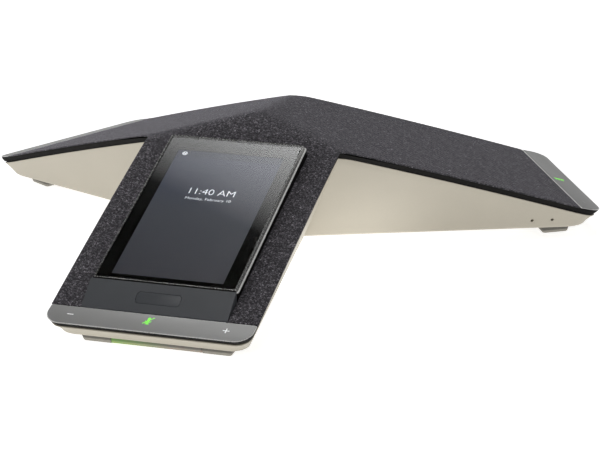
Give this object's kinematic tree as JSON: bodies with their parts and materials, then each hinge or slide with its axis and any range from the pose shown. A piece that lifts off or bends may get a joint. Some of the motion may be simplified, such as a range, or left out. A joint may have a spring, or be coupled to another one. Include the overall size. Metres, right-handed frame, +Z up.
{
  "type": "conference phone",
  "caption": "Three-armed tabletop conference phone: fabric-covered roof over a pale undercut housing, tilted touch display on one arm, touch bars at the tips, home key and rear sockets.",
  "frame": {"origin": "on the table, under the middle of the phone's outline; the star's centre, over the speaker, lies 25.3 mm behind it", "axes": "+Z up; the display arm points to -Y, the other two arms to +30 and +150 degrees from +X"},
  "size_m": [0.3832, 0.3344, 0.0763],
  "materials": {
    "putty_shell": "fine matte texture",
    "knit_fabric": "fine heathered charcoal knit",
    "black_plastic": "satin",
    "bar_plate": "satin",
    "chin_plastic": "satin",
    "cover_glass": "polished",
    "lcd": "lit screen",
    "silver_trim": "brushed satin",
    "circuit_board": "solder mask",
    "zinc_steel": "satin",
    "screw_steel": "satin",
    "foot_rubber": "matte",
    "status_lens_front": "frosted, lit green",
    "status_lens": "frosted, unlit",
    "guide_acrylic": "clear",
    "speaker_paper": "pressed paper",
    "speaker_rubber": "matte",
    "ferrite": "matte"
  },
  "bodies": {
    "base": {"lower_housing": "putty_shell", "fabric_cover": "knit_fabric", "top_frame": "black_plastic", "display_tray": "black_plastic", "port_bay": "black_plastic", "speaker_enclosure": "black_plastic", "touch_bar_front": "bar_plate", "touch_bar_right": "bar_plate", "touch_bar_left": "bar_plate", "display_chin": "chin_plastic", "cover_glass": "cover_glass", "lcd_panel": "lcd", "display_bezel": "silver_trim", "main_board": "circuit_board", "display_board": "circuit_board", "home_board": "circuit_board", "touch_board_front": "circuit_board", "touch_board_right": "circuit_board", "touch_board_left": "circuit_board", "mic_board_front": "circuit_board", "mic_board_right": "circuit_board", "mic_board_left": "circuit_board", "antenna_right": "circuit_board", "antenna_left": "circuit_board", "display_backplate": "zinc_steel", "shield_can": "zinc_steel", "home_switch": "zinc_steel", "speaker_basket": "zinc_steel", "lan_jack": "zinc_steel", "usb_a_socket": "zinc_steel", "usb_c_socket": "zinc_steel", "case_screw_front_a": "screw_steel", "case_screw_front_b": "screw_steel", "case_screw_right_a": "screw_steel", "case_screw_right_b": "screw_steel", "case_screw_left_a": "screw_steel", "case_screw_left_b": "screw_steel", "foot_front": "foot_rubber", "foot_right": "foot_rubber", "foot_left": "foot_rubber", "status_light_front": "status_lens_front", "status_light_right": "status_lens", "status_light_left": "status_lens", "light_guide_front": "guide_acrylic", "light_guide_right": "guide_acrylic", "light_guide_left": "guide_acrylic", "speaker_surround": "speaker_rubber", "speaker_magnet": "ferrite"},
    "home_button": {"home_button": "chin_plastic"},
    "speaker_cone": {"speaker_cone": "speaker_paper", "speaker_dust_cap": "speaker_paper"}
  },
  "joints": [
    {"name": "home_button_press", "type": "slide", "parent": "base", "child": "home_button", "axis": [0, 0.5769, -0.8168], "range_m": [0, 0.0006], "stiffness_N_per_m": 2500},
    {"name": "speaker_cone_travel", "type": "slide", "parent": "base", "child": "speaker_cone", "axis": [0, 0, 1], "range_m": [-0.0015, 0.0015], "stiffness_N_per_m": 1500, "deforming": ["speaker_surround"]}
  ]
}
